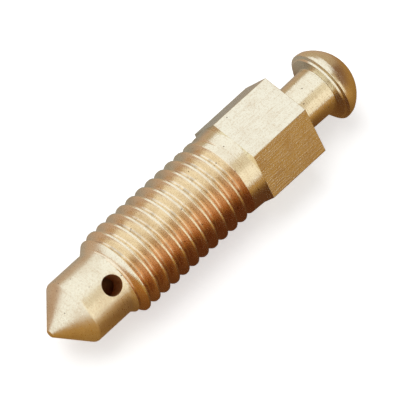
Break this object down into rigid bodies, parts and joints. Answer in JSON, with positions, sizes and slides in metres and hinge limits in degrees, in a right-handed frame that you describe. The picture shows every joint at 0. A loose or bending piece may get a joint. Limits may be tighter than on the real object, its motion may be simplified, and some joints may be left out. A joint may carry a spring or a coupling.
{
  "type": "bleeder screw",
  "caption": "Brass bleeder screw with a conical seat, a fine thread, a hexagon and a hose nipple, lying on one flat.",
  "frame": {"origin": "on the screw's axis, in the plane where the collar meets the hexagon", "axes": "+X along the axis from the seat cone to the hose nipple, +Z square to the hexagon's upper flat, so that the screw lies on its lower flat"},
  "size_m": [0.0304, 0.008, 0.0068],
  "materials": {
    "brass": "bright turned brass"
  },
  "bodies": {
    "root": {"bleeder_screw": "brass"}
  },
  "joints": []
}
